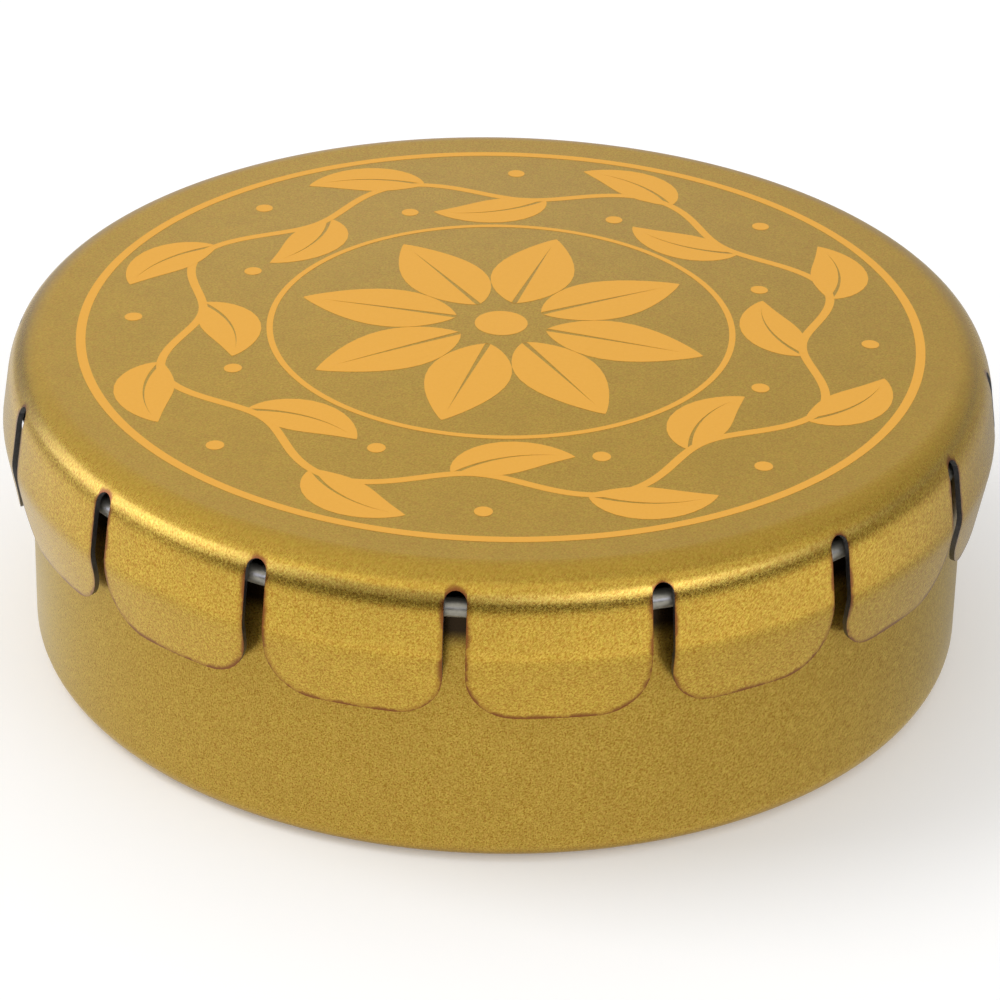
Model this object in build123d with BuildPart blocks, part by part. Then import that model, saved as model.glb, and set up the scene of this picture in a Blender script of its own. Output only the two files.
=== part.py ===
# Round sprung-lid mint tin: a drawn cup with a rolled rim, and a lid whose skirt is slit into tongues.
# The tin stands on z = 0, centred on the Z axis. Millimetres and degrees.
# The lid is one stamped sheet that bends. It is split where it bends: panel, shoulder and tongues.
from build123d import *
import math
import os

os.makedirs("parts", exist_ok=True)

# Tinplate
sheet = 0.25

# Cup
cup_radius = 22.2
cup_height = 13.75
cup_corner_radius = 1.1
foot_width = 1.6
floor_rise = 0.35
floor_step_width = 0.9
floor_step_radius = 0.5

# Rolled rim of the cup
curl_diameter = 0.9
curl_tail_gap = 0.08

# Lid: its clearances over the curl, and its own shape
rim_clearance = 1.2
bulge_clearance = 0.4
shoulder_radius = 1.65
neck_angle = 22.0
neck_flat = 0.05
neck_radius = 3.3
bulge_drop = 4.0
bulge_radius = 2.5
flare_angle = 8.0
tuck_angle = 10.5
skirt_depth = 7.15
rim_flat = 0.35
panel_crown = 0.45
panel_gap = 0.1

# Tongues
tongue_count = 16
first_tongue_angle = -90.0
slot_width = 1.0
slot_arc_drop = 1.3
tongue_corner_radius = 2.2

# How far a cutter runs past what it cuts
overrun = 1.0

half_sheet = sheet / 2
right_angle = 90
half_turn = 2 * right_angle
pitch = 2 * half_turn / tongue_count


# Cup: floor raised inside a narrow foot, straight wall, rim rolled outwards into a tube
wall_radius = cup_radius - half_sheet
curl_radius = curl_diameter / 2 - half_sheet
curl_axis_radius = wall_radius + curl_radius
curl_axis_height = cup_height - curl_diameter / 2
curl_tail_reach = curl_axis_radius - cup_radius - curl_tail_gap - half_sheet
curl_sweep = half_turn + right_angle + math.degrees(math.asin(curl_tail_reach / curl_radius))
foot_outer_radius = cup_radius - cup_corner_radius
foot_inner_radius = foot_outer_radius - foot_width

with BuildPart() as cup:
    with BuildSketch(Plane.XZ):
        with BuildLine():
            FilletPolyline(
                (0, floor_rise + half_sheet),
                (foot_inner_radius - floor_step_width, floor_rise + half_sheet),
                (foot_inner_radius, half_sheet),
                (wall_radius, half_sheet),
                (wall_radius, curl_axis_height),
                radius=[floor_step_radius, floor_step_radius, cup_corner_radius - half_sheet],
            )
            CenterArc(
                (curl_axis_radius, curl_axis_height),
                curl_radius,
                start_angle=half_turn,
                arc_size=-curl_sweep,
            )
        trace(line_width=sheet)
    revolve(axis=Axis.Z)

cup.part.label = "base_cup"
export_step(cup.part, "parts/base_cup.step")


# Lid sheet outside the panel: flat rim, shoulder, neck, flared skirt, bulge, and the tuck to the tips.
# The line runs along the middle of the sheet, round corners that lie on its straight stretches.
rim_height = cup_height + rim_clearance + sheet
rim_middle_height = rim_height - half_sheet
lid_radius = cup_radius - sheet + curl_diameter + bulge_clearance + sheet
bulge_height = rim_height - bulge_drop
skirt_bottom = rim_height - skirt_depth
slot_arc_height = rim_height - slot_arc_drop

flare = math.radians(flare_angle)
tuck = math.radians(tuck_angle)
bulge_middle_radius = bulge_radius - half_sheet
bend_reach = bulge_middle_radius / math.cos((flare + tuck) / 2)
bend_radius = lid_radius - bulge_radius + bend_reach * math.cos((tuck - flare) / 2)
bend_height = bulge_height - bend_reach * math.sin((tuck - flare) / 2)

# The neck is the steep stretch below the shoulder, just long enough for the bends at its two ends
neck = math.radians(neck_angle)
shoulder_middle_radius = shoulder_radius - half_sheet
neck_middle_radius = neck_radius - half_sheet
shoulder_reach = shoulder_middle_radius * (1 / math.cos(neck) - math.tan(neck))
neck_run = shoulder_reach + neck_flat + neck_middle_radius * math.tan((neck - flare) / 2)
neck_height = rim_middle_height - neck_run * math.cos(neck)
neck_line_radius = bend_radius - (neck_height - bend_height) * math.tan(flare)
corner_radius = neck_line_radius - neck_run * math.sin(neck)
panel_radius = corner_radius - shoulder_reach - rim_flat

tip_height = skirt_bottom - overrun
tip_radius = bend_radius - (bend_height - tip_height) * math.tan(tuck)


def lid_section(low, high):
    # Section of the lid sheet between two heights
    with BuildSketch(Plane.XZ) as section:
        with BuildLine():
            FilletPolyline(
                (panel_radius, rim_middle_height),
                (corner_radius, rim_middle_height),
                (neck_line_radius, neck_height),
                (bend_radius, bend_height),
                (tip_radius, tip_height),
                radius=[shoulder_middle_radius, neck_middle_radius, bulge_middle_radius],
            )
        trace(line_width=sheet)
        with Locations((lid_radius, (low + high) / 2)):
            Rectangle(2 * lid_radius, high - low, mode=Mode.INTERSECT)
    return section.sketch


# Shoulder: the ring from the panel's edge down to where the slots begin, with their round ends
with BuildPart() as shoulder:
    add(lid_section(slot_arc_height, rim_height + overrun))
    revolve(axis=Axis.Z)
    with Locations((0, 0, slot_arc_height)):
        with PolarLocations(lid_radius, tongue_count, start_angle=first_tongue_angle + pitch / 2):
            Cylinder(
                slot_width / 2,
                2 * shoulder_radius,
                rotation=(0, right_angle, 0),
                mode=Mode.SUBTRACT,
            )

shoulder.part.label = "lid_shoulder"
export_step(shoulder.part, "parts/lid_shoulder.step")


# Panel: the slightly domed middle of the lid, which clicks down
crown_chord = panel_radius - panel_gap
crown_sphere_radius = (crown_chord**2 + panel_crown**2) / (2 * panel_crown)

with BuildPart() as panel:
    with BuildSketch(Plane.XZ):
        with BuildLine():
            CenterArc(
                (0, rim_middle_height + panel_crown - crown_sphere_radius),
                crown_sphere_radius,
                start_angle=right_angle,
                arc_size=-math.degrees(math.asin(crown_chord / crown_sphere_radius)),
            )
        trace(line_width=sheet)
    revolve(axis=Axis.Z)

panel.part.label = "lid_panel"
export_step(panel.part, "parts/lid_panel.step")


# Tongue: one stretch of the skirt between two slots, with rounded lower corners
facing = math.radians(pitch / 2)
slot_half_angle = math.asin(slot_width / (2 * lid_radius))
tongue_half_width = lid_radius * math.sin(facing - slot_half_angle)
tongue_top = slot_arc_height + overrun
tongue_front = Plane(
    origin=(0, 0, 0),
    x_dir=(-math.sin(facing), math.cos(facing), 0),
    z_dir=(math.cos(facing), math.sin(facing), 0),
)

with BuildPart() as tongue:
    add(lid_section(skirt_bottom, slot_arc_height))
    revolve(axis=Axis.Z, revolution_arc=pitch)
    with Locations((0, 0, slot_arc_height)):
        with PolarLocations(lid_radius, 2, angular_range=pitch, endpoint=True):
            Box(
                2 * shoulder_radius,
                slot_width,
                2 * (slot_arc_height - skirt_bottom + overrun),
                mode=Mode.SUBTRACT,
            )
    with BuildSketch(tongue_front):
        with BuildLine():
            FilletPolyline(
                (-tongue_half_width, tongue_top),
                (-tongue_half_width, skirt_bottom),
                (tongue_half_width, skirt_bottom),
                (tongue_half_width, tongue_top),
                radius=tongue_corner_radius,
            )
            Line((tongue_half_width, tongue_top), (-tongue_half_width, tongue_top))
        make_face()
    extrude(amount=lid_radius + overrun, mode=Mode.INTERSECT)

for index in range(tongue_count):
    with BuildPart() as placed:
        add(tongue.part, rotation=(0, 0, first_tongue_angle - pitch / 2 + index * pitch))
    name = f"tongue_{index + 1:02d}"
    placed.part.label = name
    export_step(placed.part, f"parts/{name}.step")
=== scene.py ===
import bpy
import bisect
import bmesh
import math
from mathutils import Matrix, Vector


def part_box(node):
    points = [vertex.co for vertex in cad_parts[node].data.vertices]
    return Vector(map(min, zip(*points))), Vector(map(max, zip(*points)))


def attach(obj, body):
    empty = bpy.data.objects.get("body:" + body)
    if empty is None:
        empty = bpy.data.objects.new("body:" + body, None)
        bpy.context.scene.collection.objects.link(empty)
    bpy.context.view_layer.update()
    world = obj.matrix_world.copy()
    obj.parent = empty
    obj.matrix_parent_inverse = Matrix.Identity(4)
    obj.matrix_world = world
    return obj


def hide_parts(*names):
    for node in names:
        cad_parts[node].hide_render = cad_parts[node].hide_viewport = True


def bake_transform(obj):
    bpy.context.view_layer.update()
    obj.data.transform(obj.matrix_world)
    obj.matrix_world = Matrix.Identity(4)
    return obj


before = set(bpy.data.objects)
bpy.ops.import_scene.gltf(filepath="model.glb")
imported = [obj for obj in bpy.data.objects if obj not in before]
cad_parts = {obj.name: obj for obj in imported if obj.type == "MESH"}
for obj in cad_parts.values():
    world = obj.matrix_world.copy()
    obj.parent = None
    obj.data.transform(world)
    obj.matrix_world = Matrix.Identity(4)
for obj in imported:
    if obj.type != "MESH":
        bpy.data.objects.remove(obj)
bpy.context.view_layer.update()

mm = 0.001   # the sizes below are in millimetres, the scene is in metres


# The tin's own sizes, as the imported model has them

tin = {
    "sheet": 0.25,
    "tongues": 16,
    "firstTongueAngle": -90.0,
    "slotWidth": 1.0,
    "cupRadius": 22.2,
    "lidRadius": 23.5,
    "rimFlat": 0.35,
    "shoulderRadius": 1.65,
    "neckAngle": 22.0,
    "neckFlat": 0.05,
    "neckRadius": 3.3,
    "bulgeRadius": 2.5,
    "bulgeDrop": 4.0,
    "flareAngle": 8.0,
    "tuckAngle": 10.5,
    "tongueCornerRadius": 2.2,
    "tuckOverrun": 1.0,   # the line of the tuck is worked out this far past the tips
}

pitch = 2 * math.pi / tin["tongues"]
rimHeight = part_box("lid_shoulder")[1][2] / mm
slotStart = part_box("lid_shoulder")[0][2] / mm
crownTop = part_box("lid_panel")[1][2] / mm
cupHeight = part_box("base_cup")[1][2] / mm
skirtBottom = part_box("tongue_01")[0][2] / mm


# Small helpers

def linearColour(hexText):
    channels = [int(hexText[i:i + 2], 16) / 255 for i in (1, 3, 5)]
    return [c / 12.92 if c <= 0.04045 else ((c + 0.055) / 1.055) ** 2.4 for c in channels] + [1.0]


def addNode(tree, kind, settings=None, **inputs):
    # An input goes by its label, or by i and its number. It is a value, or a (node, output) pair to link.
    node = tree.nodes.new(kind)
    for key, value in (settings or {}).items():
        setattr(node, key, value)
    for key, value in inputs.items():
        numbered = key[0] == "i" and key[1:].isdigit()
        socket = node.inputs[int(key[1:]) if numbered else key.replace("_", " ")]
        if isinstance(value, tuple) and isinstance(value[0], bpy.types.Node):
            tree.links.new(value[0].outputs[value[1]], socket)
        else:
            socket.default_value = value
    return node


def newTree(name):
    material = bpy.data.materials.new(name)
    material.use_nodes = True
    material.node_tree.nodes.clear()
    return material, material.node_tree


def roundedPath(corners, radii, step):
    # Points along straight runs joined by tangent arcs, one radius for each inner corner; step is an angle
    points = [Vector(corners[0])]
    for before, here, after, radius in zip(corners, corners[1:], corners[2:], radii):
        here = Vector(here)
        incoming = (here - Vector(before)).normalized()
        outgoing = (Vector(after) - here).normalized()
        turn = incoming.angle_signed(outgoing)
        reach = radius * math.tan(abs(turn) / 2)
        side = Vector((incoming.y, -incoming.x)) * (1 if turn > 0 else -1)
        centre = here - incoming * reach + side * radius
        steps = max(2, round(abs(turn) / step))
        start = (here - incoming * reach) - centre
        for k in range(steps + 1):
            a = -turn * k / steps
            points.append(centre + Vector((start.x * math.cos(a) - start.y * math.sin(a),
                                           start.x * math.sin(a) + start.y * math.cos(a))))
    points.append(Vector(corners[-1]))
    return points


def meshObject(name, bm):
    # A finished bmesh as a smooth-shaded object in the scene
    mesh = bpy.data.meshes.new(name)
    bm.to_mesh(mesh)
    bm.free()
    for polygon in mesh.polygons:
        polygon.use_smooth = True
    piece = bpy.data.objects.new(name, mesh)
    bpy.context.scene.collection.objects.link(piece)
    return piece


def gridMesh(columns, rows, place):
    # A grid bent into shape: place(column, row) gives a vertex its position and its distance from a cut edge,
    # in millimetres
    bm = bmesh.new()
    bmesh.ops.create_grid(bm, x_segments=columns, y_segments=rows, size=1)
    gap = bm.verts.layers.float.new("cutGap")
    for v in bm.verts:
        column = round((v.co.x + 1) / 2 * columns)
        row = round((v.co.y + 1) / 2 * rows)
        position, v[gap] = place(column, row)
        v.co = Vector(position) * mm
    return bm


def giveSheetThickness(piece, thickness, materials):
    # Outer face, inner face and cut edge each have their own material
    for material in materials:
        piece.data.materials.append(material)
    solid = piece.modifiers.new("sheet", "SOLIDIFY")
    solid.thickness = thickness * mm
    solid.offset = -1
    solid.material_offset = 1
    solid.material_offset_rim = 2


def keepEdgesCrisp(bm):
    # The sheet is cut square, so its faces aren't shaded round into the cut
    for edge in bm.edges:
        if edge.is_boundary:
            edge.smooth = False


# Lid sheet: the line of its outer face, from the panel's edge over the shoulder and neck to the tongues' tips

flare, neck, tuck = [math.radians(tin[name]) for name in ("flareAngle", "neckAngle", "tuckAngle")]
bends = ("shoulderRadius", "neckRadius", "bulgeRadius")
halfSheet = tin["sheet"] / 2


def lidCorners():
    # Corners on the middle of the sheet, each then moved out to its outer face
    shoulderMid, neckMid, bulgeMid = [tin[name] - halfSheet for name in bends]
    bendReach = bulgeMid / math.cos((flare + tuck) / 2)
    bendRadius = tin["lidRadius"] - tin["bulgeRadius"] + bendReach * math.cos((tuck - flare) / 2)
    bendHeight = rimHeight - tin["bulgeDrop"] - bendReach * math.sin((tuck - flare) / 2)
    shoulderReach = shoulderMid * (1 / math.cos(neck) - math.tan(neck))
    neckRun = shoulderReach + tin["neckFlat"] + neckMid * math.tan((neck - flare) / 2)
    neckHeight = rimHeight - halfSheet - neckRun * math.cos(neck)
    neckRadius = bendRadius - (neckHeight - bendHeight) * math.tan(flare)
    cornerRadius = neckRadius - neckRun * math.sin(neck)
    tipHeight = skirtBottom - tin["tuckOverrun"]
    middle = [Vector(corner) for corner in (
        (cornerRadius - shoulderReach - tin["rimFlat"], rimHeight - halfSheet),
        (cornerRadius, rimHeight - halfSheet),
        (neckRadius, neckHeight),
        (bendRadius, bendHeight),
        (bendRadius - (bendHeight - tipHeight) * math.tan(tuck), tipHeight),
    )]
    runs = [(b - a).normalized() for a, b in zip(middle, middle[1:])]
    outwards = [Vector((-run.y, run.x)) for run in runs]
    before, after = [outwards[0]] + outwards, outwards + [outwards[-1]]
    return [point + halfSheet * (a + b) / (1 + a.dot(b)) for point, a, b in zip(middle, before, after)]


lidPath = roundedPath(lidCorners(), [tin[name] for name in bends], step=math.radians(1))
lidLengths = [0.0]
for a, b in zip(lidPath, lidPath[1:]):
    lidLengths.append(lidLengths[-1] + (b - a).length)
panelRadius = lidPath[0].x
shoulderStart = panelRadius + tin["rimFlat"]
inkThickness = 0.01   # the dome is lower by this much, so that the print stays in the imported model's box
crown = crownTop - rimHeight - inkThickness


def lidPoint(length):
    # Radius and height at a length along the lid's line
    k = min(max(bisect.bisect_right(lidLengths, length), 1), len(lidLengths) - 1)
    share = (length - lidLengths[k - 1]) / (lidLengths[k] - lidLengths[k - 1])
    return lidPath[k - 1].lerp(lidPath[k], min(share, 1))


def lidLengthAt(height):
    # Length along the lid's line at which it is down to a height
    for k in range(1, len(lidPath)):
        above, below = lidPath[k - 1].y, lidPath[k].y
        if below <= height < above:
            share = (above - height) / (above - below)
            return lidLengths[k - 1] + (lidLengths[k] - lidLengths[k - 1]) * share
    return lidLengths[-1]


def crownHeightAt(radius):
    # The dome runs out level at its edge, as a pressed sheet does
    share = min(radius / panelRadius, 1)
    return rimHeight + crown * (1 - share ** 2) ** 2


# Columns across one pitch, shared by the top and the tongues, so that their edges meet

tongueColumns = {"corner": 8, "middle": 5, "notch": 10}
cornerRound = tin["tongueCornerRadius"]
halfSlot = tin["slotWidth"] / 2


def columnsAcrossTongue():
    # Distance from the tongue's nearer side, or the share of the flat middle
    steps = tongueColumns["corner"]
    corner = [cornerRound * (1 - math.cos(math.pi / 2 * k / steps)) for k in range(steps + 1)]
    middle = [k / tongueColumns["middle"] for k in range(1, tongueColumns["middle"])]
    left = [("left", d) for d in corner]
    right = [("right", d) for d in reversed(corner)]
    return left + [("middle", m) for m in middle] + right


def tongueColumnAngle(column, radius, centreAngle):
    # The slots have parallel sides, so a column's angle depends on the radius
    kind, value = column
    edge = pitch / 2 - math.asin(halfSlot / radius)
    inner = edge - cornerRound / radius
    if kind == "left":
        return centreAngle - edge + value / radius
    if kind == "right":
        return centreAngle + edge - value / radius
    return centreAngle - inner + 2 * inner * value


# Lid top: the dome, the flat rim and the shoulder down to the tongues, in one sheet

lidTop = {
    "crownRows": 22,
    "shoulderRows": 28,
    "edgeRow": 0.01,
    "domeReach": 20.0,   # faces this near the origin are on the dome, which looks up
    "mergeDistance": 0.0002,
}


def lidTopMesh():
    across = columnsAcrossTongue()
    notchSteps = tongueColumns["notch"]
    notch = [-halfSlot * math.cos(math.pi * k / notchSteps) for k in range(1, notchSteps)]
    perPitch = len(across) + len(notch)
    columns = perPitch * tin["tongues"]
    crownRows, shoulderRows = lidTop["crownRows"], lidTop["shoulderRows"]
    rows = crownRows + shoulderRows
    shares = [k / (shoulderRows - 1) for k in range(shoulderRows)]
    # a thin last row keeps the shading the same on both sides of the seam with the tongues
    shares.insert(-1, 1 - lidTop["edgeRow"])

    def place(column, row):
        which, local = divmod(column % columns, perPitch)
        centreAngle = math.radians(tin["firstTongueAngle"]) + which * pitch
        lowest = slotStart
        if local >= len(across):
            sideways = notch[local - len(across)]
            lowest = slotStart + math.sqrt(halfSlot ** 2 - sideways ** 2)
        if row <= crownRows:
            radius = panelRadius * row / crownRows
            height = crownHeightAt(radius)
        else:
            radius, height = lidPoint(lidLengthAt(lowest) * shares[row - crownRows])
        measureRadius = max(radius, shoulderStart)
        if local < len(across):
            angle = tongueColumnAngle(across[local], measureRadius, centreAngle)
            kind, value = across[local]
            toSlot = value if kind != "middle" else cornerRound
            gap = math.hypot(toSlot, max(0, height - slotStart))
        else:
            angle = centreAngle + pitch / 2 + math.asin(sideways / measureRadius)
            gap = math.hypot(sideways, height - slotStart) - halfSlot
        return (radius * math.cos(angle), radius * math.sin(angle), height), max(gap, 0)

    bm = gridMesh(columns, rows, place)
    bmesh.ops.remove_doubles(bm, verts=bm.verts, dist=lidTop["mergeDistance"] * mm)
    return bm


def pointOutwards(bm, test):
    # Turns every face if the ones that test() picks look the wrong way
    if any(test(face) for face in bm.faces):
        bmesh.ops.reverse_faces(bm, faces=bm.faces)


print("stage: materials")

noiseLow, noiseHigh = 0.3, 0.7   # nearly all of a noise texture lies between these


def goldLacquerMaterial(name, look):
    # Tinplate with a gold-tinted clear lacquer, roller coated: satin metal with a fine sparkling grain that
    # leans one way and is calmer on the flat top, where the sheet isn't stretched, and a clear coat that
    # turns pale where it is seen edge on. The lacquer is browned beside a cut edge, with a darker line of
    # uneven width along the cut itself. On the cup the wall is darkened from one height up with painted
    # shade, a dark brown that stands for the shade under the curl and behind the tongues.
    # The real grain is about 0.05 mm, too fine to show, so it is drawn up to twice as coarse.
    material, tree = newTree(name)
    coordinates = addNode(tree, "ShaderNodeTexCoord")
    fine = addNode(tree, "ShaderNodeTexNoise", i0=(coordinates, "Object"),
                   Scale=1 / (look["grain"] * mm), Detail=2.0, Roughness=0.6)
    coarse = addNode(tree, "ShaderNodeTexNoise", i0=(coordinates, "Object"),
                     Scale=1 / (look["mottle"] * mm), Detail=3.0, Roughness=0.55)
    stretched = addNode(tree, "ShaderNodeMapping", {"vector_type": "TEXTURE"}, i0=(coordinates, "Object"),
                        Scale=(1.0, look["rolling"], 1.0), Rotation=look["rollingTurn"])
    rolled = addNode(tree, "ShaderNodeTexNoise", i0=(stretched, "Vector"),
                     Scale=1 / (look["grain"] * look["rolledGrain"] * mm), Detail=2.0, Roughness=0.5)
    mixed = addNode(tree, "ShaderNodeMath", {"operation": "ADD"}, i0=(fine, "Fac"), i1=(rolled, "Fac"))
    place = addNode(tree, "ShaderNodeSeparateXYZ", i0=(coordinates, "Object"))
    spread = addNode(tree, "ShaderNodeMapRange", Value=(mixed, "Value"), From_Min=0.75, From_Max=1.25,
                     To_Min=-0.5, To_Max=0.5)   # the sum of the two grains, centred on zero
    calm = addNode(tree, "ShaderNodeMapRange", {"interpolation_type": "SMOOTHSTEP"}, Value=(place, "Z"),
                   From_Min=slotStart * mm, From_Max=rimHeight * mm,
                   To_Min=look["sparkle"], To_Max=look["topSparkle"])
    grained = addNode(tree, "ShaderNodeMath", {"operation": "MULTIPLY_ADD"}, i0=(spread, "Result"),
                      i1=(calm, "Result"), i2=0.5)
    colour = addNode(tree, "ShaderNodeMix", {"data_type": "RGBA"}, i0=(grained, "Value"),
                     i6=linearColour(look["deep"]), i7=linearColour(look["light"]))
    fleck = addNode(tree, "ShaderNodeTexNoise", i0=(coordinates, "Object"),
                    Scale=1 / (look["grain"] * look["fleckGrain"] * mm), Detail=1.0)
    warmth = addNode(tree, "ShaderNodeMapRange", Value=(fleck, "Fac"), From_Min=noiseLow, From_Max=noiseHigh,
                     To_Min=0.5 - look["flecks"], To_Max=0.5 + look["flecks"])
    flecked = addNode(tree, "ShaderNodeHueSaturation", Hue=(warmth, "Result"), Color=(colour, 2))
    drift = addNode(tree, "ShaderNodeMapRange", Value=(coarse, "Fac"), From_Min=noiseLow, From_Max=noiseHigh,
                    To_Min=0.0, To_Max=look["drift"])
    drifted = addNode(tree, "ShaderNodeMix", {"data_type": "RGBA"}, i0=(drift, "Result"),
                      i6=(flecked, "Color"), i7=linearColour(look["stain"]))
    # painted shade: from one height up the wall is mixed towards dark brown, for the shade under the curl
    curlShaded = addNode(tree, "ShaderNodeMapRange", {"interpolation_type": "SMOOTHSTEP"}, Value=(place, "Z"),
                     From_Min=look["curlShadeFrom"] * mm, From_Max=look["curlShadeFull"] * mm,
                     To_Min=0.0, To_Max=look["curlShade"])
    shadedBelowCurl = addNode(tree, "ShaderNodeMix", {"data_type": "RGBA"}, i0=(curlShaded, "Result"),
                      i6=(drifted, 2), i7=linearColour(look["curlShadeColour"]))
    gap = addNode(tree, "ShaderNodeAttribute", {"attribute_name": "cutGap"})
    worn = addNode(tree, "ShaderNodeMapRange", {"interpolation_type": "SMOOTHSTEP"}, Value=(gap, "Fac"),
                   From_Min=look["edgeBand"][0], From_Max=look["edgeBand"][1],
                   To_Min=look["edge"], To_Max=0.0)
    edged = addNode(tree, "ShaderNodeMix", {"data_type": "RGBA"}, i0=(worn, "Result"),
                    i6=(shadedBelowCurl, 2), i7=linearColour(look["edgeColour"]))
    lipWobble = addNode(tree, "ShaderNodeTexNoise", i0=(coordinates, "Object"),
                   Scale=1 / (look["lipWobble"] * mm), Detail=4.0, Roughness=0.65)
    lipWidth = addNode(tree, "ShaderNodeMapRange", Value=(lipWobble, "Fac"),
                       From_Min=look["lipWobbleRange"][0], From_Max=look["lipWobbleRange"][1],
                       To_Min=look["lipBand"][0], To_Max=look["lipBand"][1])
    lip = addNode(tree, "ShaderNodeMapRange", {"interpolation_type": "SMOOTHSTEP"}, Value=(gap, "Fac"),
                  From_Min=0.0, From_Max=(lipWidth, "Result"), To_Min=look["lip"], To_Max=0.0)
    finished = addNode(tree, "ShaderNodeMix", {"data_type": "RGBA"}, i0=(lip, "Result"),
                       i6=(edged, 2), i7=linearColour(look["lipColour"]))
    uneven = addNode(tree, "ShaderNodeMapRange", Value=(fine, "Fac"), From_Min=noiseLow, From_Max=noiseHigh,
                     To_Min=look["roughness"] - look["unevenness"],
                     To_Max=look["roughness"] + look["unevenness"])
    flatness = addNode(tree, "ShaderNodeMapRange", {"interpolation_type": "SMOOTHSTEP"}, Value=(place, "Z"),
                       From_Min=(rimHeight - look["topBand"]) * mm, From_Max=rimHeight * mm,
                       To_Min=0.0, To_Max=look["topDullness"])
    dulled = addNode(tree, "ShaderNodeMath", {"operation": "ADD"},
                     i0=(uneven, "Result"), i1=(flatness, "Result"))
    bump = addNode(tree, "ShaderNodeBump", Strength=1.0, Distance=look["grainDepth"] * mm,
                   Height=(mixed, "Value"))
    shader = addNode(tree, "ShaderNodeBsdfPrincipled", Base_Color=(finished, 2), Metallic=look["metal"],
                     Roughness=(dulled, "Value"), Normal=(bump, "Normal"))
    shader.inputs["Coat Weight"].default_value = look["coat"]
    shader.inputs["Coat Roughness"].default_value = look["coatRoughness"]
    shader.inputs["Specular Tint"].default_value = look["edgeTint"]
    addNode(tree, "ShaderNodeOutputMaterial", Surface=(shader, "BSDF"))
    return material


# Lengths are in millimetres
lidLook = {
    "deep": "#AC7C12",    # the grain's hollows and its crests
    "light": "#E2BE4C",
    "stain": "#A07C30",   # faint patches where the lacquer is thicker
    "drift": 0.15,
    "mottle": 1.6,
    "grain": 0.09,
    "rolledGrain": 0.8,   # the leaning grain against the even one, and how long it is for its width
    "rolling": 3.2,
    "rollingTurn": (0.615, 0.0, -0.785),
    "fleckGrain": 1.7,    # patches of a slightly greener or redder gold
    "flecks": 0.007,
    "sparkle": 1.0,       # contrast of the grain on the skirt and on the top
    "topSparkle": 0.4,
    "grainDepth": 0.0008,
    "roughness": 0.26,
    "unevenness": 0.04,
    "topDullness": 0.16,  # added to the roughness over the last stretch below the rim
    "topBand": 0.4,
    "metal": 0.9,         # below 1, because the tinted lacquer also scatters some light as paint does
    "curlShade": 0.0,           # painted shade on the cup's wall under the curl and behind the tongues, rising between two heights
    "curlShadeFrom": 10.85,
    "curlShadeFull": 12.05,
    "curlShadeColour": "#2A1A04",
    "edge": 0.75,         # browning beside a cut edge
    "edgeBand": (0.02, 0.3),
    "edgeColour": "#A0701E",
    "lip": 0.9,           # the darker line along the cut itself, least and greatest width
    "lipBand": (0.04, 0.34),
    "lipColour": "#7C3E10",
    "lipWobble": 1.3,
    "lipWobbleRange": (0.44, 0.6),
    "edgeTint": (1.0, 0.97, 0.85, 1.0),
    "coat": 0.32,
    "coatRoughness": 0.22,
}
# The cup has the lid's lacquer; its darker deep and light colours are painted shade, for the shade its wall
# lies in under the lid's skirt
cupLook = dict(lidLook, deep="#9E751A", light="#D2B04E", grain=0.075, rolling=6.0, roughness=0.3, metal=0.8,
               curlShade=1.0, sparkle=1.05, coat=0.1, edgeTint=(0.95, 0.93, 0.72, 1.0))


def tinplateMaterial(name, look):
    # Bare tinplate: cool grey metal with fine rolling marks, dulled by a thin film of oil. The real marks are
    # about 0.02 mm apart, too fine to show, so they are drawn coarser. Where it was sheared it is darker.
    material, tree = newTree(name)
    coordinates = addNode(tree, "ShaderNodeTexCoord")
    marks = addNode(tree, "ShaderNodeMapping", i0=(coordinates, "Object"), Scale=(1.0, look["rolling"], 1.0))
    noise = addNode(tree, "ShaderNodeTexNoise", i0=(marks, "Vector"),
                    Scale=1 / (look["grain"] * mm), Detail=3.0)
    colour = addNode(tree, "ShaderNodeMix", {"data_type": "RGBA"}, i0=(noise, "Fac"),
                     i6=linearColour(look["deep"]), i7=linearColour(look["light"]))
    roughness = addNode(tree, "ShaderNodeMapRange", Value=(noise, "Fac"),
                        From_Min=noiseLow, From_Max=noiseHigh,
                        To_Min=look["roughness"] - look["unevenness"],
                        To_Max=look["roughness"] + look["unevenness"])
    bump = addNode(tree, "ShaderNodeBump", Strength=1.0, Distance=look["grainDepth"] * mm,
                   Height=(noise, "Fac"))
    shader = addNode(tree, "ShaderNodeBsdfPrincipled", Base_Color=(colour, 2), Metallic=look["metal"],
                     Roughness=(roughness, "Result"), Normal=(bump, "Normal"))
    addNode(tree, "ShaderNodeOutputMaterial", Surface=(shader, "BSDF"))
    return material


tinplateLook = {"deep": "#7F7C71", "light": "#B6B09F", "grain": 0.15, "rolling": 0.2, "grainDepth": 0.002,
                "roughness": 0.36, "unevenness": 0.06, "metal": 0.72}
cutEdgeLook = dict(tinplateLook, deep="#4B4B4C", light="#7D7C79", grain=0.08, rolling=1.0, grainDepth=0.004,
                   roughness=0.45, metal=1.0)


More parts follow.
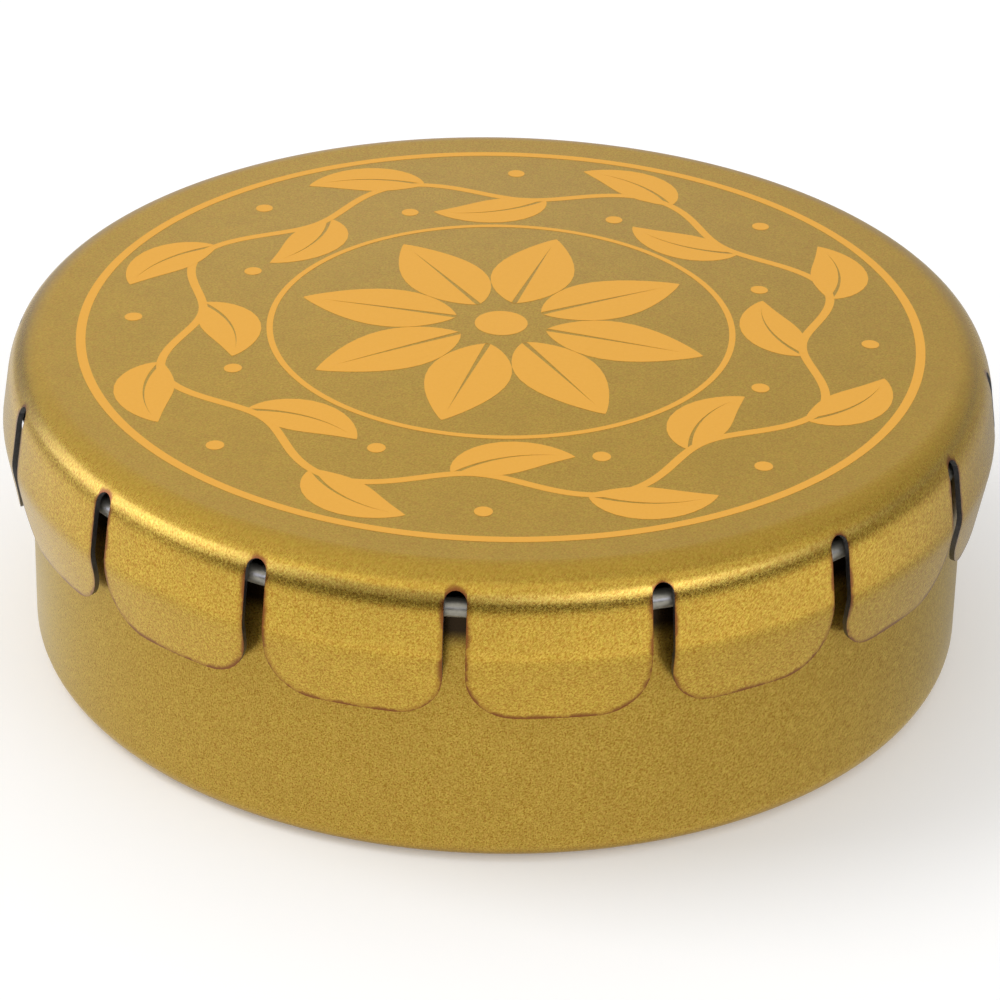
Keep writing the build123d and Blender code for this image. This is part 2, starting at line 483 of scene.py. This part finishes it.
def inkMaterial(name, look):
    # Screen-printed opaque ink over the lacquer: even orange, satin, the metal's grain faint under it and drawn
    # as coarse as the lacquer's
    material, tree = newTree(name)
    coordinates = addNode(tree, "ShaderNodeTexCoord")
    noise = addNode(tree, "ShaderNodeTexNoise", i0=(coordinates, "Object"),
                    Scale=1 / (look["grain"] * mm), Detail=2.0)
    colour = addNode(tree, "ShaderNodeMix", {"data_type": "RGBA"}, i0=(noise, "Fac"),
                     i6=linearColour(look["deep"]), i7=linearColour(look["light"]))
    bump = addNode(tree, "ShaderNodeBump", Strength=1.0, Distance=look["grainDepth"] * mm,
                   Height=(noise, "Fac"))
    shader = addNode(tree, "ShaderNodeBsdfPrincipled", Base_Color=(colour, 2), Metallic=0.0,
                     Roughness=look["roughness"], Normal=(bump, "Normal"))
    shader.inputs["Specular IOR Level"].default_value = look["gloss"]
    addNode(tree, "ShaderNodeOutputMaterial", Surface=(shader, "BSDF"))
    return material


inkLook = {"deep": "#E7A632", "light": "#ECAD3A", "grain": 0.14, "grainDepth": 0.0004, "roughness": 0.6,
           "gloss": 0.25}

lidLacquer = goldLacquerMaterial("gold_lacquered_tinplate_lid", lidLook)
cupLacquer = goldLacquerMaterial("gold_lacquered_tinplate_cup", cupLook)
bareTinplate = tinplateMaterial("bare_tinplate", tinplateLook)
cutTinplate = tinplateMaterial("cut_tinplate_edge", cutEdgeLook)
orangeInk = inkMaterial("orange_screen_ink", inkLook)
lidMaterials = [lidLacquer, bareTinplate, cutTinplate]
cupMaterials = [cupLacquer, bareTinplate, cutTinplate]


print("stage: lid top")

domeReach = lidTop["domeReach"] * mm
bm = lidTopMesh()
pointOutwards(bm, lambda face: face.calc_center_median().length < domeReach and face.normal.z < 0)
keepEdgesCrisp(bm)
top = meshObject("lid_top", bm)
giveSheetThickness(top, tin["sheet"], lidMaterials)
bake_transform(top)
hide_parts("lid_shoulder", "lid_panel")


print("stage: tongues")

tongueRows = {
    "rows": 24,
    "edgeRows": (0.006, 0.03),
    "bendLength": 1.3,
}


def tongueMesh(centreAngle):
    across = columnsAcrossTongue()
    low, high = tongueRows["edgeRows"]
    inner = [k / tongueRows["rows"] for k in range(1, tongueRows["rows"])]
    shares = [0, low] + inner + [1 - high, 1 - low, 1]

    def place(column, row):
        kind, value = across[column]
        lowest = skirtBottom
        if kind != "middle":
            lowest += cornerRound - math.sqrt(max(cornerRound ** 2 - (cornerRound - value) ** 2, 0))
        height = slotStart + (lowest - slotStart) * shares[row]
        radius = lidPoint(lidLengthAt(height)).x
        angle = tongueColumnAngle(across[column], radius, centreAngle)
        toSide = value if kind != "middle" else cornerRound
        if kind != "middle" and height < skirtBottom + cornerRound:
            toSide = cornerRound - math.hypot(cornerRound - value, skirtBottom + cornerRound - height)
        gap = min(toSide, height - skirtBottom) if kind == "middle" else min(toSide, cornerRound)
        return (radius * math.cos(angle), radius * math.sin(angle), height), max(gap, 0)

    return gridMesh(len(across) - 1, len(shares) - 1, place)


for index in range(tin["tongues"]):
    centreAngle = math.radians(tin["firstTongueAngle"]) + index * pitch
    outwards = Vector((math.cos(centreAngle), math.sin(centreAngle), 0))
    bm = tongueMesh(centreAngle)
    bm.normal_update()
    pointOutwards(bm, lambda face: face.normal.dot(outwards) < -0.5)
    keepEdgesCrisp(bm)
    name = f"tongue_{index + 1:02d}"
    tongue = meshObject("sprung_" + name, bm)
    giveSheetThickness(tongue, tin["sheet"], lidMaterials)
    pivot = outwards * lidPoint(lidLengthAt(slotStart)).x * mm + Vector((0, 0, slotStart * mm))
    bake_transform(tongue)
    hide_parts(name)


print("stage: cup")

cup = {
    "cornerRadius": 1.1,
    "footWidth": 1.6,
    "floorRise": 0.35,
    "stepWidth": 0.9,
    "stepRadius": 0.5,
    "curlDiameter": 0.9,
    "curlTailGap": 0.08,
    "turns": 192,
    "wallRows": 8,
    "cornerStep": 8.0,   # degrees between the points round a corner
    "curlSteps": 26,
    "mergeDistance": 0.001,
    "underside": 0.1,    # faces lower than this look down
    "uncut": 5.0,        # the cup's only cut edge is hidden in the curl, so it shows no browning beside a cut
}


def cupPath():
    # The sheet's outer face, from the middle of the underside up the wall and round inside the curl
    footOuter = tin["cupRadius"] - cup["cornerRadius"]
    footInner = footOuter - cup["footWidth"]
    curlHeight = cupHeight - cup["curlDiameter"] / 2
    bore = cup["curlDiameter"] / 2 - tin["sheet"]
    points = roundedPath(
        [(0, cup["floorRise"]),
         (footInner - cup["stepWidth"], cup["floorRise"]),
         (footInner, 0),
         (tin["cupRadius"], 0),
         (tin["cupRadius"], curlHeight)],
        [cup["stepRadius"], cup["stepRadius"], cup["cornerRadius"]],
        step=math.radians(cup["cornerStep"]),
    )
    lastCorner = points[-2]
    rise = (curlHeight - lastCorner.y) / cup["wallRows"]
    points[-1:] = [Vector((tin["cupRadius"], lastCorner.y + rise * (k + 1))) for k in range(cup["wallRows"])]
    middle = tin["cupRadius"] + bore
    tail = math.acos((tin["cupRadius"] + cup["curlTailGap"] - middle) / (cup["curlDiameter"] / 2))
    for k in range(1, cup["curlSteps"] + 1):
        a = math.pi - (math.pi + tail) * k / cup["curlSteps"]
        points.append(Vector((middle + bore * math.cos(a), curlHeight + bore * math.sin(a))))
    return points


bm = bmesh.new()
verts = [bm.verts.new((p.x * mm, 0, p.y * mm)) for p in cupPath()]
edges = [bm.edges.new(pair) for pair in zip(verts, verts[1:])]
bmesh.ops.spin(bm, geom=verts + edges, cent=(0, 0, 0), axis=(0, 0, 1), angle=2 * math.pi, steps=cup["turns"],
               use_merge=True)
bmesh.ops.remove_doubles(bm, verts=bm.verts, dist=cup["mergeDistance"] * mm)
bm.normal_update()
pointOutwards(bm, lambda face: face.calc_center_median().z < cup["underside"] * mm and face.normal.z > 0.5)
gap = bm.verts.layers.float.new("cutGap")
for v in bm.verts:
    v[gap] = cup["uncut"]
keepEdgesCrisp(bm)
cupPiece = meshObject("cup_shell", bm)
giveSheetThickness(cupPiece, tin["sheet"], cupMaterials)
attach(cupPiece, "cup")
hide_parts("base_cup")


print("stage: printed pattern")

ink = {
    "ringRadius": 19.75,
    "lineWidth": 0.45,
    "innerRingRadius": 10.9,
    "innerLineWidth": 0.3,
    "vineRadius": 15.3,
    "vineSwing": 1.1,
    "vineWaves": 8,
    "vineWidth": 0.42,
    "vineSunk": 0.002,
    "vineSteps": 720,
    "ringSteps": 360,
    "innerRingSteps": 240,
    "leafGrid": (18, 3),
    "berrySides": 24,
    "eyeSides": 48,
    "leafLength": 6.0,
    "leafWidth": 2.8,
    "outerLeaf": (-0.7, 1.0),    # lean from the vine and bend along the leaf, in radians
    "innerLeaf": (0.95, -1.0),
    "leafBack": 0.35,            # how far back along the vine a leaf leaves it, and how far on its berry is
    "berryOn": 0.2,
    "belly": 0.82,               # less than 1 has the widest place of a leaf nearer its stalk
    "fullness": 0.85,
    "slit": 0.2,
    "slitEnd": 0.86,
    "petalSlit": 1.3,
    "petals": 8,
    "petalLength": 7.6,
    "petalWidth": 3.9,
    "petalStart": 2.2,
    "berryRadius": 0.42,
    "berryOffset": 2.1,
    "eyeRadius": 1.25,
    "depthShare": 0.8,           # the layer's own depth, so that it ends just clear of the lacquer
    "mergeDistance": 0.004,
}


def printSurface(x, y):
    # Height of the print's upper face
    return crownHeightAt(math.hypot(x, y)) + inkThickness


def addStrip(target, columns, rows, place, sunk=0.0):
    # One printed shape: a flat grid whose vertices place(u, v) sets, u and v from 0 to 1. A shape that others
    # lie over is sunk a little, so that the two don't share a surface.
    piece = bmesh.new()
    bmesh.ops.create_grid(piece, x_segments=columns, y_segments=rows, size=0.5)
    for v in piece.verts:
        x, y = place(v.co.x + 0.5, v.co.y + 0.5)
        v.co = (x * mm, y * mm, -sunk * mm)
    bmesh.ops.remove_doubles(piece, verts=piece.verts, dist=ink["mergeDistance"] * mm)
    mesh = bpy.data.meshes.new("strip")
    piece.to_mesh(mesh)
    piece.free()
    target.from_mesh(mesh)
    bpy.data.meshes.remove(mesh)


def addRing(target, radius, width, steps):
    def place(u, v):
        r = radius - width / 2 + width * v
        return r * math.cos(2 * math.pi * u), r * math.sin(2 * math.pi * u)
    addStrip(target, steps, 1, place)


def addLeaf(target, x, y, heading, length, width, bend, slit):
    # Two half blades along a bent midrib, with a slit between them that closes towards the tip
    def rib(u):
        if bend == 0:
            return x + length * u * math.cos(heading), y + length * u * math.sin(heading), heading
        radius = length / bend
        turned = heading + bend * u
        return (x + radius * (math.sin(turned) - math.sin(heading)),
                y - radius * (math.cos(turned) - math.cos(heading)), turned)

    def halfWidth(u):
        return width / 2 * math.sin(math.pi * u ** ink["belly"]) ** ink["fullness"] if 0 < u < 1 else 0

    for side in (1, -1):
        def place(u, v):
            u = 0.5 - 0.5 * math.cos(math.pi * u)   # rows closer together at both ends
            cx, cy, turned = rib(u)
            outer = halfWidth(u)
            inner = min(slit / 2 * max(0, 1 - u / ink["slitEnd"]), outer)
            off = side * (inner + (outer - inner) * v)
            return cx - off * math.sin(turned), cy + off * math.cos(turned)
        addStrip(target, *ink["leafGrid"], place)


def vinePoint(angle):
    radius = ink["vineRadius"] + ink["vineSwing"] * math.sin(ink["vineWaves"] * angle)
    return radius * math.cos(angle), radius * math.sin(angle)


pattern = bmesh.new()
addRing(pattern, ink["ringRadius"], ink["lineWidth"], ink["ringSteps"])
addRing(pattern, ink["innerRingRadius"], ink["innerLineWidth"], ink["innerRingSteps"])


def placeVine(u, v):
    a = 2 * math.pi * u
    step = 0.001
    x0, y0 = vinePoint(a - step)
    x1, y1 = vinePoint(a + step)
    length = math.hypot(x1 - x0, y1 - y0)
    x, y = vinePoint(a)
    off = ink["vineWidth"] * (v - 0.5)
    return x - off * (y1 - y0) / length, y + off * (x1 - x0) / length


addStrip(pattern, ink["vineSteps"], 1, placeVine, sunk=ink["vineSunk"])

halfWave = math.pi / ink["vineWaves"]
for k in range(2 * ink["vineWaves"]):
    # a leaf on each half wave of the vine, outwards and inwards in turn, with a berry across the vine from it
    outer = k % 2 == 0
    angle = halfWave * (k + 0.5)
    base = angle - halfWave / 2 * ink["leafBack"]
    x, y = vinePoint(base)
    lean, bend = ink["outerLeaf"] if outer else ink["innerLeaf"]
    heading = base + math.pi / 2 + lean
    addLeaf(pattern, x, y, heading, ink["leafLength"], ink["leafWidth"], bend, ink["slit"])
    berryAngle = angle + halfWave / 2 * ink["berryOn"]
    berryAt = ink["vineRadius"] + (-ink["berryOffset"] if outer else ink["berryOffset"])
    berryPlace = Vector((berryAt * math.cos(berryAngle), berryAt * math.sin(berryAngle), 0)) * mm
    bmesh.ops.create_circle(pattern, cap_ends=True, segments=ink["berrySides"], radius=ink["berryRadius"] * mm,
                            matrix=Matrix.Translation(berryPlace))

for k in range(ink["petals"]):
    heading = 2 * math.pi * (k + 0.5) / ink["petals"]
    start = ink["petalStart"]
    addLeaf(pattern, start * math.cos(heading), start * math.sin(heading), heading, ink["petalLength"],
            ink["petalWidth"], 0, ink["slit"] * ink["petalSlit"])
bmesh.ops.create_circle(pattern, cap_ends=True, segments=ink["eyeSides"], radius=ink["eyeRadius"] * mm)

for v in pattern.verts:
    v.co.z += printSurface(v.co.x / mm, v.co.y / mm) * mm
pattern.normal_update()
for face in pattern.faces:
    if face.normal.z < 0:
        face.normal_flip()
keepEdgesCrisp(pattern)
printed = meshObject("printed_pattern", pattern)
printed.data.materials.append(orangeInk)
solid = printed.modifiers.new("ink", "SOLIDIFY")
solid.thickness = inkThickness * ink["depthShare"] * mm
solid.offset = -1
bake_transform(printed)


print("stage: studio")

# Heights, radii and the cards' distance are in millimetres; the floor, the ceiling panel and the lamps are in
# metres. What changes round the tin is given as (azimuth, value), the azimuth in degrees from the front (-Y)
# to the right: the brightness of each card, the reach of the white one on the floor, and how many degrees
# above its horizon the tin's rim sees the top of each upright one.
studio = {
    "floorSize": 4.0,
    "floorDrop": 0.02,
    "floorColour": "#F2F2F2",
    "backgroundLift": 0.2,
    "worldFill": 0.72,
    "cardDistance": 150.0,
    "cardSides": 144,
    "footHeight": 0.02,
    "bounceHeight": 0.1,
    "flagTop": [(-180, -5), (-142, -5), (-109, -3), (-80, 2), (-54, 8), (0, 8), (30, 8), (60, 6), (90, 8),
                (130, 8), (180, -5)],
    "flag": [(-180, 0.6), (-110, 0.45), (-79, 0.42), (-55, 0.03), (-30, 0.0), (40, 0.0), (52, 0.07),
             (75, 0.26), (100, 0.36), (180, 0.6)],
    "stripTop": [(-180, 18), (-142, 18), (-109, 24), (-80, 25), (-54, 30), (-30, 22), (0, 20), (24, 22),
                 (130, 22), (180, 18)],
    "strip": [(-180, 1.0), (-142, 0.5), (-127, 0.9), (-109, 3.1), (-80, 4.3), (-66, 3.4), (-54, 2.4),
              (-40, 1.0), (-14, 0.9), (5, 2.9), (24, 5.4), (40, 3.2), (62, 1.2), (85, 0.5), (130, 0.5),
              (180, 1.0)],
    "stripColour": "#CFD7FF",
    "skyTop": [(-180, 44), (180, 44)],
    "sky": [(-180, 0.83), (-142, 0.68), (-110, 0.8), (-79, 0.9), (-50, 1.2), (-30, 1.2), (0, 0.95),
            (40, 0.85), (65, 0.75), (90, 0.42), (130, 0.42), (180, 0.83)],
    "floorRadii": (22.3, 23.0, 45.0),   # from just outside the cup's wall
    "corner": [(-180, 0.6), (-150, 0.45), (-97, 0.8), (20, 0.9), (69, 0.6), (118, 0.42), (180, 0.6)],
    "foot": [(-180, 0.6), (-152, 0.48), (-97, 0.88), (-45, 0.88), (0, 0.86), (40, 0.7), (69, 0.52),
             (118, 0.38), (150, 0.42), (180, 0.6)],
    "bounceOuter": [(-180, 75), (-142, 72), (-109, 75), (-80, 85), (-54, 98), (0, 104), (60, 108), (90, 98),
                    (180, 75)],
    "bounce": [(-180, 0.8), (-141, 0.82), (-100, 1.05), (-45, 1.1), (20, 1.2), (63, 1.05), (100, 0.52),
               (120, 0.47), (180, 0.8)],
    "ceilingHeight": 350.0,
    "ceilingSize": (1.2, 1.9),
    "ceilingFront": 0.24,
    "ceilingFade": (0.15, 0.4),       # behind the tin: where the panel begins to darken, and over what length
    "ceilingNear": 0.7,
    "ceilingFar": 0.54,
    "ceilingFall": 0.5,               # sideways: how much darker a metre to the right is, between two limits
    "ceilingFallSpan": (-0.15, 0.3),
    "lampAim": 0.01,
    "softboxes": {
        "left_softbox": {"azimuth": -100, "elevation": 50, "distance": 0.7, "size": 0.4, "brightness": 3.1},
        "right_softbox": {"azimuth": 40, "elevation": 35, "distance": 0.7, "size": 0.3, "brightness": 1.2},
    },
}


def directionTo(azimuth, elevation):
    # From the tin, with the azimuth in degrees from the front (-Y) to the right
    a, e = math.radians(azimuth), math.radians(elevation)
    return Vector((math.sin(a) * math.cos(e), -math.cos(a) * math.cos(e), math.sin(e)))


def cameraSight(tree):
    # 1 for rays that show the background itself: straight from the camera, mirrored or through glass
    path = addNode(tree, "ShaderNodeLightPath")
    first = addNode(tree, "ShaderNodeMath", {"operation": "ADD"},
                    i0=(path, "Is Camera Ray"), i1=(path, "Is Glossy Ray"))
    return addNode(tree, "ShaderNodeMath", {"operation": "ADD", "use_clamp": True}, i0=(first, "Value"),
                   i1=(path, "Is Transmission Ray"))


bm = bmesh.new()
bmesh.ops.create_grid(bm, x_segments=1, y_segments=1, size=studio["floorSize"] / 2)
bmesh.ops.translate(bm, verts=bm.verts, vec=(0, 0, -studio["floorDrop"] * mm))
floor = meshObject("studio_floor", bm)
floorMaterial, tree = newTree("studio_floor_white")
sight = cameraSight(tree)
diffuse = addNode(tree, "ShaderNodeBsdfDiffuse", Color=linearColour(studio["floorColour"]))
lift = addNode(tree, "ShaderNodeMath", {"operation": "MULTIPLY"},
               i0=(sight, "Value"), i1=studio["backgroundLift"])
glow = addNode(tree, "ShaderNodeEmission", Strength=(lift, "Value"))
both = addNode(tree, "ShaderNodeAddShader", i0=(diffuse, "BSDF"), i1=(glow, "Emission"))
addNode(tree, "ShaderNodeOutputMaterial", Surface=(both, "Shader"))
floor.data.materials.append(floorMaterial)

# Cards stand round the tin as photographers set them for shiny metal: a black one that gives it its dark
# line, a bright strip above that, white on the floor and grey overhead. Only the metal's reflections see them.


def cardMaterial(name, colour):
    material, tree = newTree(name)
    brightness = addNode(tree, "ShaderNodeAttribute", {"attribute_name": "cardGlow"})
    glow = addNode(tree, "ShaderNodeEmission", Color=linearColour(colour), Strength=(brightness, "Fac"))
    addNode(tree, "ShaderNodeOutputMaterial", Surface=(glow, "Emission"))
    return material


litCard = cardMaterial("lit_card", "#FFFFFF")
coolCard = cardMaterial("cool_strip_card", studio["stripColour"])


def valueAt(stops, azimuth):
    # The value at an azimuth, straight between the two stops beside it
    for (a0, b0), (a1, b1) in zip(stops, stops[1:]):
        if a0 <= azimuth <= a1:
            return b0 + (b1 - b0) * (azimuth - a0) / (a1 - a0)


def addCard(name, bm, material=litCard):
    card = meshObject(name, bm)
    card.data.materials.append(material)
    card.visible_camera = False
    card.visible_diffuse = False
    card.visible_shadow = False
    card.visible_transmission = False


def addRoundCard(name, inner, outer, stops, material=litCard):
    # A ring of card between two circles; inner and outer give radius and height at an azimuth
    bm = bmesh.new()
    glow = bm.verts.layers.float.new("cardGlow")
    bmesh.ops.create_circle(bm, cap_ends=False, segments=studio["cardSides"], radius=1)
    raised = bmesh.ops.extrude_edge_only(bm, edges=bm.edges)
    far = {g for g in raised["geom"] if isinstance(g, bmesh.types.BMVert)}
    for v in bm.verts:
        azimuth = math.degrees(math.atan2(v.co.x, -v.co.y))
        radius, height = (outer if v in far else inner)(azimuth)
        v[glow] = valueAt(stops, azimuth)
        v.co = Vector((v.co.x * radius, v.co.y * radius, height)) * mm
    addCard(name, bm, material)


def standing(angles):
    # The edge of an upright card that the tin's rim sees at an angle above the horizon
    def edge(azimuth):
        rise = (studio["cardDistance"] - tin["lidRadius"]) * math.tan(math.radians(valueAt(angles, azimuth)))
        return studio["cardDistance"], slotStart + rise
    return edge


def circle(radius, height):
    # The edge of a card that lies flat
    return lambda azimuth: (radius, height)


def bounceEdge(azimuth):
    # The white card on the floor reaches further in some directions than in others
    return valueAt(studio["bounceOuter"], azimuth), studio["bounceHeight"]


cornerInner, cornerOuter, footOuter = [circle(r, studio["footHeight"]) for r in studio["floorRadii"]]
bounceInner = circle(studio["floorRadii"][-1], studio["bounceHeight"])
flagFoot = circle(studio["cardDistance"], studio["bounceHeight"])
flagTop, stripTop, skyTop = [standing(studio[name]) for name in ("flagTop", "stripTop", "skyTop")]
# The cards on the floor glow by themselves, and are dimmer to the right and behind: a painted shadow of the tin
# on the floor, as the metal mirrors it
addRoundCard("corner_card", cornerInner, cornerOuter, studio["corner"])
addRoundCard("foot_card", cornerOuter, footOuter, studio["foot"])
addRoundCard("bounce_card", bounceInner, bounceEdge, studio["bounce"])
addRoundCard("flag_foot", bounceEdge, flagFoot, studio["flag"])
addRoundCard("flag_card", flagFoot, flagTop, studio["flag"])
addRoundCard("strip_card", flagTop, stripTop, studio["strip"], coolCard)
addRoundCard("sky_card", stripTop, skyTop, studio["sky"])

bm = bmesh.new()
bmesh.ops.create_grid(bm, x_segments=8, y_segments=12, size=0.5)
width, depth = studio["ceilingSize"]
bmesh.ops.scale(bm, verts=bm.verts, vec=(width, depth, 1))
bmesh.ops.translate(bm, verts=bm.verts,
                    vec=(0, depth / 2 - studio["ceilingFront"], studio["ceilingHeight"] * mm))
glow = bm.verts.layers.float.new("cardGlow")
fadeFrom, fadeLength = studio["ceilingFade"]
leftmost, rightmost = studio["ceilingFallSpan"]
for v in bm.verts:
    away = min(max((v.co.y - fadeFrom) / fadeLength, 0), 1)
    grey = studio["ceilingNear"] + (studio["ceilingFar"] - studio["ceilingNear"]) * away
    v[glow] = grey - studio["ceilingFall"] * max(leftmost, min(v.co.x, rightmost))
addCard("grey_ceiling_panel", bm)

world = bpy.data.worlds.new("studio_world")
bpy.context.scene.world = world
world.use_nodes = True
tree = world.node_tree
tree.nodes.clear()
sight = cameraSight(tree)
strength = addNode(tree, "ShaderNodeMapRange", Value=(sight, "Value"), To_Min=studio["worldFill"], To_Max=1.0)
back = addNode(tree, "ShaderNodeBackground", Strength=(strength, "Result"))
back.inputs["Color"].default_value = (1, 1, 1, 1)
addNode(tree, "ShaderNodeOutputWorld", Surface=(back, "Background"))


def addSoftbox(name, azimuth, elevation, distance, size, brightness):
    # A square panel aimed at the tin; brightness is the panel's own radiance
    light = bpy.data.lights.new(name, "AREA")
    light.size = size
    light.energy = brightness * math.pi * size ** 2
    lamp = bpy.data.objects.new(name, light)
    bpy.context.scene.collection.objects.link(lamp)
    lamp.location = directionTo(azimuth, elevation) * distance
    aim = Vector((0, 0, studio["lampAim"])) - lamp.location
    lamp.rotation_euler = aim.to_track_quat("-Z", "Y").to_euler()
    lamp.visible_glossy = False   # the cards stand for it in the metal
    lamp.visible_camera = False


for name, softbox in studio["softboxes"].items():
    addSoftbox(name, **softbox)


print("stage: camera")

view = {
    "elevation": 28.87,
    "azimuth": -7.03,
    "distance": 216.4,
    "aimHeight": 8.0,
    "roll": 1.25,
    "lens": 162.5,
    "sensor": 36,
    "shift": (0.0019, -0.035),
    "nearest": 0.01,
}
back = directionTo(view["azimuth"], view["elevation"])
camera = bpy.data.objects.new("photo_camera", bpy.data.cameras.new("photo_camera"))
bpy.context.scene.collection.objects.link(camera)
camera.location = Vector((0, 0, view["aimHeight"] * mm)) + back * view["distance"] * mm
camera.rotation_euler = (-back).to_track_quat("-Z", "Y").to_euler()
camera.rotation_euler.rotate_axis("Z", math.radians(view["roll"]))
camera.data.lens = view["lens"]
camera.data.sensor_width = view["sensor"]
camera.data.shift_x, camera.data.shift_y = view["shift"]
camera.data.clip_start = view["nearest"]
bpy.context.scene.camera = camera
bpy.context.scene.view_settings.view_transform = "Standard"
